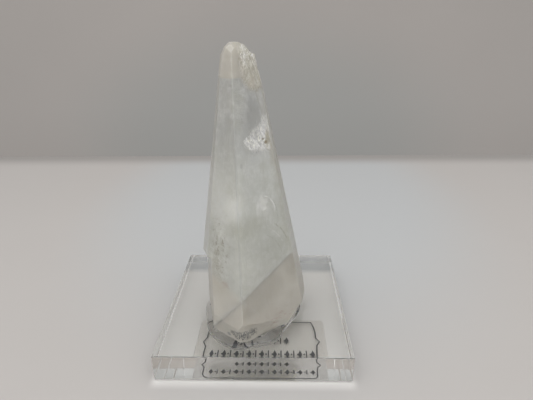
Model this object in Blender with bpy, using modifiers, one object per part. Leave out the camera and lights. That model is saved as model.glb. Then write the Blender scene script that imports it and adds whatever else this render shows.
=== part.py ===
"""Dogtooth calcite: one steep crystal glued upright on a clear square slab.

Metres, +Z up. The origin is the middle of the underside and the front is -Y.
Angles are in degrees: an azimuth turns from the front (0) to the right (90),
and a rise is how far a face looks up (plus) or down (minus).
"""
import math

import bmesh
import bpy
from mathutils import Matrix, Vector

MM = 0.001

# Clearance kept between pieces that touch in real life
GAP = 0.3 * MM

# The clear film label under the slab
FILM_THICKNESS = 0.2 * MM
FILM_WIDTH = 35.5 * MM
FILM_DEPTH = 18.8 * MM
FILM_CORNER = 1.2 * MM
FILM_X = 1.8 * MM
FILM_Y = -15.4 * MM

# The clear slab
SLAB_SIDE = 50.8 * MM
SLAB_THICKNESS = 7.6 * MM
SLAB_EDGE = 0.25 * MM
SLAB_BOTTOM = FILM_THICKNESS + GAP
SLAB_TOP = SLAB_BOTTOM + SLAB_THICKNESS

# The glue under and around the foot
GLUE_BED = 0.6 * MM
GLUE_BOTTOM = SLAB_TOP + GAP

# The crystal: its long axis leans a little to the left
CRYSTAL_BOTTOM = GLUE_BOTTOM + GLUE_BED + GAP
CRYSTAL_TOP = 81.0 * MM
AXIS_POINT = Vector((-1.75, -7.55, 40.5)) * MM
AXIS_LEAN_LEFT = 0.35
FACE_HALF_GAP = 22.0
CRYSTAL_TURN = 4.7
FACE_RISE = 8.1
RIGHT_FACE_RISE = 10.3
EDGE_WEAR = 0.12 * MM

# Distance of each long face from the axis at the axis point
FRONT_RIGHT = 7.95 * MM
RIGHT = 9.80 * MM
BACK_RIGHT = 10.95 * MM
BACK_LEFT = 7.45 * MM
LEFT = 9.65 * MM
FRONT_LEFT = 10.30 * MM

# The lower right block has parted along a cleavage crack and stands back from it
CLEAVAGE_AZIMUTH = 64.2
CLEAVAGE_RISE = -39.9
CLEAVAGE_POINT = Vector((0.4, -17.9, 22.85)) * MM
FRONT_STEP = 0.35 * MM
SIDE_STEP = 0.05 * MM
CRACK_OVERLAP = 0.12 * MM

# Worn faces of the tip and right shoulder: azimuth, rise, a point on each in millimetres
TIP_FACES = (
    (68.0, 12.5, (3.0, -6.0, 69.6)),
    (74.0, 22.0, (0.95, -6.0, 77.9)),
    (70.0, 40.0, (-0.2, -6.0, 79.3)),
    (66.0, 58.0, (-1.9, -6.0, 80.8)),
    (-78.0, 27.0, (-6.0, -7.5, 79.2)),
    (-76.0, 52.0, (-4.7, -7.5, 80.7)),
    (-4.0, 38.0, (-3.0, -11.6, 79.9)),
    (176.0, 40.0, (-2.5, -5.4, 79.9)),
)

# Broken faces of the foot, given the same way
FOOT_FACES = (
    (36.5, -9.5, (-1.2, -22.9, 17.4)),
    (2.0, -15.0, (-1.6, -21.4, 9.0)),
    (-36.0, -13.0, (-6.0, -21.0, 14.2)),
    (69.0, -30.0, (10.7, -13.6, 11.9)),
    (150.0, -26.0, (8.0, 8.2, 12.0)),
    (-162.0, -22.0, (-7.5, 3.5, 11.2)),
)

# The step broken out of the left side: a steep riser under a sloping ledge
LEFT_STEP_RISER = (-76.5, 1.5, (-13.45, -4.0, 16.5))
LEFT_STEP_LEDGE = (-55.8, -39.9, (-14.3, -3.4, 26.2))

# Outline of the glue on the slab, in millimetres, anticlockwise seen from above
GLUE_OUTLINE = (
    (11.9, -8.6),
    (13.0, -3.0),
    (11.0, 2.6),
    (5.6, 6.2),
    (-1.2, 7.0),
    (-8.0, 5.6),
    (-12.6, 1.6),
    (-14.6, -4.0),
    (-13.9, -10.0),
    (-12.2, -16.0),
    (-8.6, -20.5),
    (-3.4, -23.3),
    (0.6, -22.0),
    (5.6, -20.1),
    (8.3, -15.0),
)

# How the glue rises inward from that outline: share of the way out, height
GLUE_PROFILE = (
    (1.00, 0.0),
    (0.995, 0.30),
    (0.975, 0.62),
    (0.94, 0.92),
    (0.88, 1.25),
    (0.80, 1.75),
    (0.70, 2.50),
    (0.58, 3.40),
    (0.44, 4.20),
)
GLUE_MIDDLE = Vector((-0.8, -8.4, 0.0)) * MM
GLUE_STEPS_PER_POINT = 4

# Side of the block that the crystal is cut from, and how close corners are welded
CUTTING_BLOCK = 0.4
WELD = 0.002 * MM


def direction(azimuth, rise):
    """Unit vector for an azimuth and a rise."""
    turn = math.radians(azimuth)
    up = math.radians(rise)
    return Vector((
        math.sin(turn) * math.cos(up),
        -math.cos(turn) * math.cos(up),
        math.sin(up),
    ))


def placed_face(azimuth, rise, point):
    """Plane, as point and outward normal, from a line of the tables above."""
    return Vector(point) * MM, direction(azimuth, rise)


def long_faces(below_crack):
    """The six steep growth faces, turned and leaned with the crystal's axis."""
    lean = Matrix.Rotation(math.radians(-AXIS_LEAN_LEFT), 3, "Y")
    planes = []
    for azimuth, rise, distance, step in (
        (60 - FACE_HALF_GAP, FACE_RISE, FRONT_RIGHT, FRONT_STEP),
        (60 + FACE_HALF_GAP, RIGHT_FACE_RISE, RIGHT, SIDE_STEP),
        (180 - FACE_HALF_GAP, RIGHT_FACE_RISE, BACK_RIGHT, SIDE_STEP),
        (180 + FACE_HALF_GAP, FACE_RISE, BACK_LEFT, SIDE_STEP),
        (300 - FACE_HALF_GAP, FACE_RISE, LEFT, FRONT_STEP),
        (300 + FACE_HALF_GAP, FACE_RISE, FRONT_LEFT, FRONT_STEP),
    ):
        normal = lean @ direction(azimuth + CRYSTAL_TURN, rise)
        reach = distance - step if below_crack else distance
        planes.append((AXIS_POINT + normal * reach, normal))
    return planes


def moved(planes, distance):
    """The same planes, each pushed out along its own normal."""
    return [(point + normal * distance, normal) for point, normal in planes]


def solid_between(planes, name):
    """Object for the closed solid that lies behind every given plane."""
    bm = bmesh.new()
    bmesh.ops.create_cube(bm, size=CUTTING_BLOCK)
    for point, normal in planes:
        everything = bm.verts[:] + bm.edges[:] + bm.faces[:]
        cut = bmesh.ops.bisect_plane(
            bm, geom=everything, dist=1e-8,
            plane_co=point, plane_no=normal, clear_outer=True,
        )
        rim = [item for item in cut["geom_cut"] if isinstance(item, bmesh.types.BMEdge)]
        bmesh.ops.contextual_create(bm, geom=rim)
    bmesh.ops.remove_doubles(bm, verts=bm.verts, dist=WELD)
    bmesh.ops.recalc_face_normals(bm, faces=bm.faces)
    mesh = bpy.data.meshes.new(name)
    bm.to_mesh(mesh)
    bm.free()
    return bpy.data.objects.new(name, mesh)


def add_boolean(target, other, operation):
    """Exact boolean of target with other, kept as a modifier."""
    modifier = target.modifiers.new(operation.title() + " " + other.name, "BOOLEAN")
    modifier.operation = operation
    modifier.solver = "EXACT"
    modifier.object = other
    return modifier


def make_material(name, color, roughness, alpha=1.0, transmission=0.0, ior=1.5):
    """Principled material with the piece's own colour and gloss."""
    material = bpy.data.materials.new(name)
    material.use_nodes = True
    shader = material.node_tree.nodes["Principled BSDF"]
    shader.inputs["Base Color"].default_value = (*color, 1.0)
    shader.inputs["Roughness"].default_value = roughness
    shader.inputs["Metallic"].default_value = 0.0
    shader.inputs["Alpha"].default_value = alpha
    shader.inputs["Transmission Weight"].default_value = transmission
    shader.inputs["IOR"].default_value = ior
    return material


def hide_cutter(cutter, collection):
    """File a helper solid away from the part."""
    collection.objects.link(cutter)
    cutter.hide_render = True
    cutter.display_type = "WIRE"


def make_crystal(name, grow, target, cutters):
    """The crystal's solid, its planes pushed out by grow, as one object."""
    crack = (CLEAVAGE_POINT, direction(CLEAVAGE_AZIMUTH, CLEAVAGE_RISE))
    ends = [
        (Vector((0.0, 0.0, CRYSTAL_TOP)), Vector((0.0, 0.0, 1.0))),
        (Vector((0.0, 0.0, CRYSTAL_BOTTOM)), Vector((0.0, 0.0, -1.0))),
    ]
    tip = [placed_face(*face) for face in TIP_FACES]
    foot = [placed_face(*face) for face in FOOT_FACES]
    shared = moved(ends + foot, grow)

    upper_planes = moved(long_faces(False) + tip, grow) + shared + [crack]
    crystal = solid_between(upper_planes, name)
    target.objects.link(crystal)

    # The block below the crack runs a little way into the upper part, to fuse with it
    overlap = (crack[0] - crack[1] * CRACK_OVERLAP, -crack[1])
    lower_ends = moved(ends + foot, grow - SIDE_STEP)
    lower_planes = moved(long_faces(True), grow) + lower_ends + [overlap]
    lower = solid_between(lower_planes, name + "_lower_block")
    hide_cutter(lower, cutters)
    add_boolean(crystal, lower, "UNION")

    riser_point, riser_normal = placed_face(*LEFT_STEP_RISER)
    ledge_point, ledge_normal = placed_face(*LEFT_STEP_LEDGE)
    step_planes = moved([(riser_point, -riser_normal), (ledge_point, -ledge_normal)], -grow)
    step = solid_between(step_planes, name + "_left_step")
    hide_cutter(step, cutters)
    add_boolean(crystal, step, "DIFFERENCE")
    return crystal


def add_edge_bevel(target, width, segments, angle):
    """Soften the edges that turn by more than the angle."""
    modifier = target.modifiers.new("Worn edges", "BEVEL")
    modifier.limit_method = "ANGLE"
    modifier.angle_limit = math.radians(angle)
    modifier.width = width
    modifier.segments = segments
    weld = target.modifiers.new("Weld corners", "WELD")
    weld.merge_threshold = WELD


def smooth_outline(points, steps):
    """Closed Catmull-Rom curve through the points, as a list of positions."""
    count = len(points)
    smooth = []
    for index in range(count):
        before, start, end, after = (
            Vector(points[(index + shift) % count]) for shift in (-1, 0, 1, 2)
        )
        for step in range(steps):
            t = step / steps
            smooth.append(0.5 * (
                2.0 * start
                + (end - before) * t
                + (2.0 * before - 5.0 * start + 4.0 * end - after) * t ** 2
                + (3.0 * start - before - 3.0 * end + after) * t ** 3
            ))
    return smooth


def make_glue(target, cutters):
    """The puddle: its outline drawn in and up ring by ring, around the foot's pocket."""
    outline = smooth_outline(GLUE_OUTLINE, GLUE_STEPS_PER_POINT)
    bm = bmesh.new()
    rings = []
    for share, height in GLUE_PROFILE:
        ring = []
        for x, y in outline:
            flat = GLUE_MIDDLE + (Vector((x, y, 0.0)) * MM - GLUE_MIDDLE) * share
            ring.append(bm.verts.new((flat.x, flat.y, GLUE_BOTTOM + height * MM)))
        loop = [bm.edges.new((ring[i - 1], ring[i])) for i in range(len(ring))]
        rings.append(loop)
    for lower, upper in zip(rings, rings[1:]):
        bmesh.ops.bridge_loops(bm, edges=lower + upper)
    bmesh.ops.contextual_create(bm, geom=rings[0])
    bmesh.ops.contextual_create(bm, geom=rings[-1])
    bmesh.ops.recalc_face_normals(bm, faces=bm.faces)
    mesh = bpy.data.meshes.new("glue")
    bm.to_mesh(mesh)
    bm.free()
    mesh.shade_smooth()
    mesh.set_sharp_from_angle(angle=math.radians(40.0))
    glue = bpy.data.objects.new("glue", mesh)
    target.objects.link(glue)

    pocket = make_crystal("glue_pocket", GAP, cutters, cutters)
    pocket.hide_render = True
    pocket.display_type = "WIRE"
    add_boolean(glue, pocket, "DIFFERENCE")
    return glue


def make_slab(target):
    """The clear square slab with lightly broken edges."""
    bm = bmesh.new()
    size = Matrix.Diagonal((SLAB_SIDE, SLAB_SIDE, SLAB_THICKNESS, 1.0))
    place = Matrix.Translation((0.0, 0.0, SLAB_BOTTOM + SLAB_THICKNESS / 2.0))
    bmesh.ops.create_cube(bm, size=1.0, matrix=place @ size)
    mesh = bpy.data.meshes.new("base")
    bm.to_mesh(mesh)
    bm.free()
    slab = bpy.data.objects.new("base", mesh)
    target.objects.link(slab)
    add_edge_bevel(slab, SLAB_EDGE, 2, 30.0)
    return slab


def make_label(target):
    """The film: a flat rectangle with round corners, drawn as a filled curve."""
    half_width = FILM_WIDTH / 2.0
    half_depth = FILM_DEPTH / 2.0
    curve = bpy.data.curves.new("label", "CURVE")
    curve.dimensions = "2D"
    curve.fill_mode = "BOTH"
    curve.extrude = FILM_THICKNESS / 2.0
    spline = curve.splines.new("POLY")
    corners = ((1, -1, -90), (1, 1, 0), (-1, 1, 90), (-1, -1, 180))
    points = []
    for side_x, side_y, start in corners:
        centre_x = side_x * (half_width - FILM_CORNER)
        centre_y = side_y * (half_depth - FILM_CORNER)
        for step in range(7):
            angle = math.radians(start + step * 15.0)
            points.append((
                centre_x + FILM_CORNER * math.cos(angle),
                centre_y + FILM_CORNER * math.sin(angle),
            ))
    spline.points.add(len(points) - 1)
    for point, (x, y) in zip(spline.points, points):
        point.co = (x, y, 0.0, 1.0)
    spline.use_cyclic_u = True
    label = bpy.data.objects.new("label", curve)
    label.location = (FILM_X, FILM_Y, FILM_THICKNESS / 2.0)
    target.objects.link(label)
    return label


def main():
    for item in list(bpy.data.objects):
        bpy.data.objects.remove(item, do_unlink=True)
    part = bpy.data.collections.new("dogtooth_calcite")
    cutters = bpy.data.collections.new("cutters")
    bpy.context.scene.collection.children.link(part)
    bpy.context.scene.collection.children.link(cutters)

    crystal = make_crystal("crystal", 0.0, part, cutters)
    add_edge_bevel(crystal, EDGE_WEAR, 1, 20.0)
    crystal.data.materials.append(
        make_material("calcite", (0.42, 0.41, 0.36), 0.22, 0.85, 0.8, 1.6)
    )
    glue = make_glue(part, cutters)
    glue.data.materials.append(
        make_material("clear glue", (0.80, 0.80, 0.78), 0.08, 0.5, 0.95, 1.48)
    )
    slab = make_slab(part)
    slab.data.materials.append(
        make_material("clear acrylic", (0.88, 0.88, 0.86), 0.03, 0.4, 1.0, 1.49)
    )
    label = make_label(part)
    label.data.materials.append(
        make_material("clear label film", (0.72, 0.69, 0.66), 0.35, 0.7)
    )


main()
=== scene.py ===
import math

import bmesh
import bpy
from mathutils import Matrix, Vector, noise
from mathutils.bvhtree import BVHTree


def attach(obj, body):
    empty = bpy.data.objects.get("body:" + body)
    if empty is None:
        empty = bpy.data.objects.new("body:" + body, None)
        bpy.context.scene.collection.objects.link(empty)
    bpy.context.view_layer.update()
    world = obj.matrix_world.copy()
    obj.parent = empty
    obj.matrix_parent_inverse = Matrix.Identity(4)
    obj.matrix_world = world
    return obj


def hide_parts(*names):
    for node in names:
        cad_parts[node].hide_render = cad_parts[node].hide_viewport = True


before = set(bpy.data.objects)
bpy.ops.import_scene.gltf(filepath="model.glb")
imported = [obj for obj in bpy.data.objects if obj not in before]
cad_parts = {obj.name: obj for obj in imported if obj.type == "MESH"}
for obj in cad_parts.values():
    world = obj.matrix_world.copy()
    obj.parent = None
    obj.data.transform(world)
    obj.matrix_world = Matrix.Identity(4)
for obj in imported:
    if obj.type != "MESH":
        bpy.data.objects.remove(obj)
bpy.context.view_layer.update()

mm = 0.001
mergeGap = 0.002  # mm: corners closer than this become one
levelFace = 0.9  # a face counts as level when its normal rises or falls more than this


def metres(sizes):
    return [size * mm for size in sizes]


def scaled(color, amount):
    return [part * amount for part in color]


# An operator or a method of a wire that adds one Math node
def byNode(operation):
    return lambda wire, *others: wire.maths(operation, wire, *others)


# A shader value that plain Python expressions can work on
class Wire:
    def __init__(self, tree, socket):
        self.tree = tree
        self.socket = socket

    def maths(self, operation, *values):
        return self.tree.add("ShaderNodeMath", {"operation": operation}, dict(enumerate(values)))

    def __rsub__(self, other):
        return self.maths("SUBTRACT", other, self)

    __add__ = __radd__ = byNode("ADD")
    __sub__ = byNode("SUBTRACT")
    __mul__ = __rmul__ = byNode("MULTIPLY")
    __truediv__ = byNode("DIVIDE")
    __abs__ = byNode("ABSOLUTE")
    atLeast = byNode("MAXIMUM")
    atMost = byNode("MINIMUM")


# A node tree, to which any node is added in one call. A colour is given as red, green and blue
class Nodes:
    def __init__(self, tree):
        self.nodes = tree.nodes
        self.links = tree.links

    def add(self, kind, settings={}, inputs={}, out=0):
        node = self.nodes.new(kind)
        for key, value in settings.items():
            setattr(node, key, value)
        for key, value in inputs.items():
            socket = node.inputs[key]
            if isinstance(value, Wire):
                self.links.new(value.socket, socket)
            else:
                socket.default_value = (*value, 1.0) if socket.type == "RGBA" else value
        return Wire(self, node.outputs[out])

    def axis(self, vector, letter):
        return self.add("ShaderNodeSeparateXYZ", {}, {0: vector}, letter)

    def blend(self, factor, first, second):
        return self.add("ShaderNodeMix", {"data_type": "RGBA"}, {0: factor, 6: first, 7: second}, 2)


# A Geometry Nodes tree with named inputs, used once on one piece
class Layout(Nodes):
    def __init__(self, name, **sizes):
        self.tree = bpy.data.node_groups.new(name, "GeometryNodeTree")
        super().__init__(self.tree)
        for way in ("INPUT", "OUTPUT"):
            self.tree.interface.new_socket("Geometry", in_out=way, socket_type="NodeSocketGeometry")
        self.sizes = {}
        for key, value in sizes.items():
            kind = "NodeSocketInt" if isinstance(value, int) else "NodeSocketFloat"
            socket = self.tree.interface.new_socket(key, in_out="INPUT", socket_type=kind)
            self.sizes[socket.identifier] = value
        self.source = self.nodes.new("NodeGroupInput")

    def given(self, name):
        return Wire(self, self.source.outputs[name])

    def xyz(self, x=0.0, y=0.0, z=0.0):
        return self.add("ShaderNodeCombineXYZ", {}, {0: x, 1: y, 2: z})

    def joined(self, *parts):
        join = self.nodes.new("GeometryNodeJoinGeometry")
        for part in parts:
            self.links.new(part.socket, join.inputs[0])
        return Wire(self, join.outputs[0])

    # Ends the tree, runs it on the mesh and gives back a plain mesh
    def run(self, geometry, material, start):
        solid = self.add("GeometryNodeRealizeInstances", {}, {0: geometry})
        solid = self.add("GeometryNodeSetMaterial", {}, {0: solid, "Material": material})
        end = self.nodes.new("NodeGroupOutput")
        self.links.new(solid.socket, end.inputs[0])
        holder = meshObject("holder", start)
        step = holder.modifiers.new("layout", "NODES")
        step.node_group = self.tree
        for identifier, value in self.sizes.items():
            step[identifier] = value
        mesh = evaluated(holder)
        bpy.data.objects.remove(holder)
        return mesh


# One material and the nodes in it
class Surface(Nodes):
    def __init__(self, name):
        self.material = bpy.data.materials.new(name)
        self.material.use_nodes = True
        super().__init__(self.material.node_tree)
        self.nodes.clear()
        self.output = self.nodes.new("ShaderNodeOutputMaterial")

    def vector(self, operation, first, second=None, out=0):
        inputs = {0: first} if second is None else {0: first, 1: second}
        return self.add("ShaderNodeVectorMath", {"operation": operation}, inputs, out)

    def place(self):
        return self.add("ShaderNodeTexCoord", out="Object")

    def facing(self, letter):
        return self.axis(self.add("ShaderNodeNewGeometry", out="Normal"), letter)

    def cloud(self, at, size, detail=3.0, rough=0.5, twist=0.0):
        return self.add("ShaderNodeTexNoise", {},
                        {"Vector": at, "Scale": 1.0 / (size * mm), "Detail": detail,
                         "Roughness": rough, "Distortion": twist}, "Fac")

    def step(self, value, low, high):
        return self.add("ShaderNodeMapRange", {"interpolation_type": "SMOOTHSTEP"},
                        {0: value, 1: low, 2: high})

    # How far out a point is, where the ellipsoid with these radii is at 1
    def reach(self, at, centre, radii):
        local = self.vector("SUBTRACT", at, metres(centre))
        local = self.vector("DIVIDE", local, metres(radii))
        return self.vector("LENGTH", local, out="Value")

    # Soft-edged patch round a point: 1 inside, 0 outside
    def patch(self, at, centre, radii, edge, wobble=None):
        reach = self.reach(at, centre, radii)
        if wobble is not None:
            reach = reach + wobble
        return self.step(reach, 1.0 + edge, 1.0 - edge)

    # Metres beyond a plane
    def past(self, at, point, normal):
        away = self.vector("SUBTRACT", at, metres(point))
        return self.vector("DOT_PRODUCT", away, normal, out="Value")

    def bump(self, height, distance, strength):
        return self.add("ShaderNodeBump", {},
                        {"Height": height, "Distance": distance * mm, "Strength": strength})

    def principled(self, **inputs):
        words = {name.replace("_", " "): value for name, value in inputs.items()}
        return self.add("ShaderNodeBsdfPrincipled", {}, words)

    def seeThrough(self):
        return self.add("ShaderNodeBsdfTransparent", {}, {"Color": (1.0, 1.0, 1.0)})

    def mixed(self, factor, first, second):
        return self.add("ShaderNodeMixShader", {}, {0: factor, 1: first, 2: second})

    def finish(self, surface, volume=None):
        self.links.new(surface.socket, self.output.inputs["Surface"])
        if volume is not None:
            self.links.new(volume.socket, self.output.inputs["Volume"])
        return self.material


def meshObject(name, mesh, *materials):
    piece = bpy.data.objects.new(name, mesh)
    bpy.context.scene.collection.objects.link(piece)
    for material in materials:
        mesh.materials.append(material)
    return piece


# A plain mesh of an object with its modifiers applied
def evaluated(piece):
    return bpy.data.meshes.new_from_object(piece.evaluated_get(bpy.context.evaluated_depsgraph_get()))


def fromBmesh(bm, name):
    mesh = bpy.data.meshes.new(name)
    bm.to_mesh(mesh)
    bm.free()
    return mesh


# A mesh in metres from a shape in mm
def inMetres(bm, name):
    bmesh.ops.scale(bm, vec=(mm, mm, mm), verts=bm.verts)
    return fromBmesh(bm, name)


# The same, smooth but for the edges that turn by more than the angle
def smoothMesh(bm, name, sharpFrom):
    mesh = inMetres(bm, name)
    mesh.shade_smooth()
    mesh.set_sharp_from_angle(angle=math.radians(sharpFrom))
    return mesh


view = {
    "place": (6.306, -104.2, 82.46),
    "down": 22.176,
    "turn": 1.652,
    "roll": -0.683,
    "lens": 27.54,
    "film": 36.0,
    "nearest": 5.0,
}


def makeCamera():
    data = bpy.data.cameras.new("camera")
    data.lens = view["lens"]
    data.sensor_width = view["film"]
    data.clip_start = view["nearest"] * mm
    camera = bpy.data.objects.new("camera", data)
    camera.matrix_world = (
        Matrix.Translation(Vector(view["place"]) * mm)
        @ Matrix.Rotation(math.radians(view["turn"]), 4, "Z")
        @ Matrix.Rotation(math.radians(90.0 - view["down"]), 4, "X")
        @ Matrix.Rotation(math.radians(view["roll"]), 4, "Z")
    )
    bpy.context.scene.collection.objects.link(camera)
    bpy.context.scene.camera = camera


studio = {
    "tableEdge": 184.0,
    "fade": (158.0, 181.0),
    "under": (0.95, 0.93, 0.905),  # painted light: the table is painted brighter under the clear slab, where light gathers
    "underSide": (27.2, 24.4),  # where that ends, and where it is full
    "underFront": (-28.5, -24.5),
    "underBack": (22.5, 18.5),
    "tableSpan": 700.0,
    "tableLevel": -0.04,
    "table": (0.575, 0.549, 0.528),
    "coolTable": (0.565, 0.578, 0.583),  # painted light and shade: the table and wall are painted in a cooler tone close to the object, the wall also darker
    "coolTableZone": ((8.0, 122.0, 0.0), (88.0, 135.0, 50.0), 0.3),
    "wall": (0.455, 0.425, 0.402),
    "coolWall": (0.402, 0.399, 0.384),
    "coolWallZone": ((-10.0, 420.0, -60.0), (215.0, 50.0, 135.0), 0.45),
    "wallFoot": (0.394, 0.375, 0.360),
    "wallDistance": 420.0,
    "wallSpan": 1500.0,
    "wallHeights": (-700.0, 900.0),
    "skyTop": (1.0, 1.0, 1.0),
    "skyLow": (0.80, 0.80, 0.80),
    "skyFade": (-0.1, 0.7),
    "skyStrength": 0.70,
    "keyPlace": (-20.0, -210.0, 560.0),
    "keyAim": (0.0, 0.0, 30.0),
    "keySize": 800.0,
    "keyPower": 1.88,
    "bounces": 24,
    "glossyBounces": 12,
    "clearBounces": 32,
    "clamp": 0.9,  # just under the lamp's own brightness, against stray bright pixels
}


def tableMaterial():
    s = Surface("pale table")
    at = s.place()
    side, depth = s.axis(at, "X"), s.axis(at, "Y")
    grain = s.cloud(at, 40.0, 4.0)
    color = s.blend(grain, scaled(studio["table"], 0.985), scaled(studio["table"], 1.015))
    # Painted light and shade: a cooler tone close to the object
    color = s.blend(s.patch(at, *studio["coolTableZone"]), color, studio["coolTable"])
    # Painted light: the table is painted brighter under the clear slab
    under = (s.step(abs(side), *metres(studio["underSide"])) * s.step(depth, *metres(studio["underFront"]))
             * s.step(depth, *metres(studio["underBack"])))
    color = s.blend(under, color, studio["under"])
    color = s.blend(s.step(depth, *metres(studio["fade"])), color, studio["wallFoot"])
    return s.finish(s.principled(Base_Color=color, Roughness=0.6, Specular_IOR_Level=0.3))


def wallMaterial():
    s = Surface("grey wall")
    at = s.place()
    grain = s.cloud(at, 160.0, 3.0)
    color = s.blend(grain, scaled(studio["wall"], 0.96), scaled(studio["wall"], 1.05))
    # Painted shade: cooler and darker close to the object
    color = s.blend(s.patch(at, *studio["coolWallZone"]), color, studio["coolWall"])
    return s.finish(s.principled(Base_Color=color, Roughness=0.9, Specular_IOR_Level=0.2))


def flatFace(name, corners, material):
    bm = bmesh.new()
    bm.faces.new([bm.verts.new(Vector(corner) * mm) for corner in corners])
    return meshObject(name, fromBmesh(bm, name), material)


def makeTableAndWall():
    span, edge, low = studio["tableSpan"], studio["tableEdge"], studio["tableLevel"]
    corners = ((-span, -span, low), (span, -span, low), (span, edge, low), (-span, edge, low))
    flatFace("table", corners, tableMaterial())
    span, far, (low, high) = studio["wallSpan"], studio["wallDistance"], studio["wallHeights"]
    corners = ((-span, far, low), (span, far, low), (span, far, high), (-span, far, high))
    flatFace("wall", corners, wallMaterial())


def makeLight():
    world = bpy.data.worlds.new("studio light")
    world.use_nodes = True
    bpy.context.scene.world = world
    sky = Nodes(world.node_tree)
    height = sky.axis(sky.add("ShaderNodeTexCoord", out="Generated"), "Z")
    low, high = studio["skyFade"]
    ramp = sky.add("ShaderNodeMapRange", {}, {"Value": height, "From Min": low, "From Max": high})
    color = sky.blend(ramp, studio["skyLow"], studio["skyTop"])
    background = sky.nodes["Background"]
    sky.links.new(color.socket, background.inputs["Color"])
    background.inputs["Strength"].default_value = studio["skyStrength"]

    data = bpy.data.lights.new("tent top", "AREA")
    data.shape = "DISK"
    data.size = studio["keySize"] * mm
    data.energy = studio["keyPower"]
    key = bpy.data.objects.new("tent top", data)
    key.location = Vector(studio["keyPlace"]) * mm
    aim = Vector(metres(studio["keyAim"])) - key.location
    key.rotation_euler = aim.to_track_quat("-Z", "Y").to_euler()
    bpy.context.scene.collection.objects.link(key)


def setLightPaths():
    scene = bpy.context.scene
    scene.view_settings.view_transform = "Standard"
    scene.cycles.max_bounces = studio["bounces"]
    scene.cycles.transmission_bounces = studio["bounces"]
    scene.cycles.glossy_bounces = studio["glossyBounces"]
    scene.cycles.transparent_max_bounces = studio["clearBounces"]
    scene.cycles.sample_clamp_indirect = studio["clamp"]


makeCamera()
makeTableAndWall()
makeLight()
setLightPaths()
print("studio ready")


crystal = {
    "axis": (-1.75, -7.55, 40.5),
    "leanLeft": 0.35,
    "bottom": 9.3,
    "top": 81.0,
    "longFaces": (  # azimuth, rise, distance, step back below the crack
        (42.7, 8.1, 7.95, 0.35),
        (86.7, 10.3, 9.80, 0.05),
        (162.7, 10.3, 10.95, 0.05),
        (206.7, 8.1, 7.45, 0.05),
        (282.7, 8.1, 9.65, 0.35),
        (326.7, 8.1, 10.30, 0.35),
    ),
    "tipFaces": (
        (68.0, 12.5, (3.0, -6.0, 69.6)),
        (74.0, 22.0, (0.95, -6.0, 77.9)),
        (70.0, 40.0, (-0.2, -6.0, 79.3)),
        (66.0, 58.0, (-1.9, -6.0, 80.8)),
        (-78.0, 27.0, (-6.0, -7.5, 79.2)),
        (-76.0, 52.0, (-4.7, -7.5, 80.7)),
        (-4.0, 38.0, (-3.0, -11.6, 79.9)),
        (176.0, 40.0, (-2.5, -5.4, 79.9)),
    ),
    "footFaces": (
        (36.5, -9.5, (-1.2, -22.9, 17.4)),
        (2.0, -15.0, (-1.6, -21.4, 9.0)),
        (-36.0, -13.0, (-6.0, -21.0, 14.2)),
        (69.0, -30.0, (10.7, -13.6, 11.9)),
        (150.0, -26.0, (8.0, 8.2, 12.0)),
        (-162.0, -22.0, (-7.5, 3.5, 11.2)),
    ),
    "leftStep": (
        (-76.5, 1.5, (-13.45, -4.0, 16.5)),
        (-55.8, -39.9, (-14.3, -3.4, 26.2)),
    ),
    "crack": (64.2, -39.9, (0.4, -17.9, 22.85)),
    "crackWidth": 0.03,
    "cleft": (-55.8, -39.9, (-1.6, -21.7, 21.5)),
    "slice": 0.8,
    "fineSlice": 0.4,
    "fineAbove": 70.0,
    "fineBelow": 17.5,
    "lowerInset": 0.05,  # how far the block below the crack stands back at the foot
    "sharpFrom": 24.0,
    "refraction": 1.6,
}


def direction(azimuth, rise):
    turn, up = math.radians(azimuth), math.radians(rise)
    return Vector((math.sin(turn) * math.cos(up), -math.cos(turn) * math.cos(up), math.sin(up)))


def plane(azimuth, rise, point):
    return Vector(point), direction(azimuth, rise)


def grown(planes, distance):
    return [(point + normal * distance, normal) for point, normal in planes]


# The solid inside a set of planes
def solidBetween(planes):
    bm = bmesh.new()
    bmesh.ops.create_cube(bm, size=400.0)
    for point, normal in planes:
        cut = bmesh.ops.bisect_plane(bm, geom=bm.verts[:] + bm.edges[:] + bm.faces[:], dist=1e-5,
                                     plane_co=point, plane_no=normal, clear_outer=True)
        rim = [item for item in cut["geom_cut"] if isinstance(item, bmesh.types.BMEdge)]
        bmesh.ops.contextual_create(bm, geom=rim)
    bmesh.ops.remove_doubles(bm, verts=bm.verts, dist=mergeGap)
    bmesh.ops.recalc_face_normals(bm, faces=bm.faces)
    return bm


def longPlanes(below):
    lean = Matrix.Rotation(math.radians(-crystal["leanLeft"]), 3, "Y")
    found = []
    for azimuth, rise, distance, stepBack in crystal["longFaces"]:
        normal = lean @ direction(azimuth, rise)
        away = distance - (stepBack if below else 0.0)
        found.append((Vector(crystal["axis"]) + normal * away, normal))
    return found


# The level ends and the broken faces of the foot
def footPlanes(top):
    up = Vector((0, 0, 1))
    ends = [(up * top, up), (up * crystal["bottom"], -up)]
    return ends + [plane(*face) for face in crystal["footFaces"]]


def crystalBlocks():
    shared = footPlanes(crystal["top"])
    tip = [plane(*face) for face in crystal["tipFaces"]]
    point, normal = plane(*crystal["crack"])
    half = normal * crystal["crackWidth"] / 2.0
    upper = solidBetween(longPlanes(False) + tip + shared + [(point - half, normal)])
    lower = solidBetween(longPlanes(True) + grown(shared, -crystal["lowerInset"]) + [(point + half, -normal)])
    return upper, lower


# What is left of the first shape after the second is cut out of it
def without(first, second):
    target = meshObject("target", fromBmesh(first, "target"))
    other = meshObject("other", fromBmesh(second, "other"))
    step = target.modifiers.new("step", "BOOLEAN")
    step.operation = "DIFFERENCE"
    step.solver = "EXACT"
    step.object = other
    done = bmesh.new()
    done.from_mesh(evaluated(target))
    bpy.data.objects.remove(target)
    bpy.data.objects.remove(other)
    bmesh.ops.remove_doubles(done, verts=done.verts, dist=mergeGap)
    return done


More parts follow.
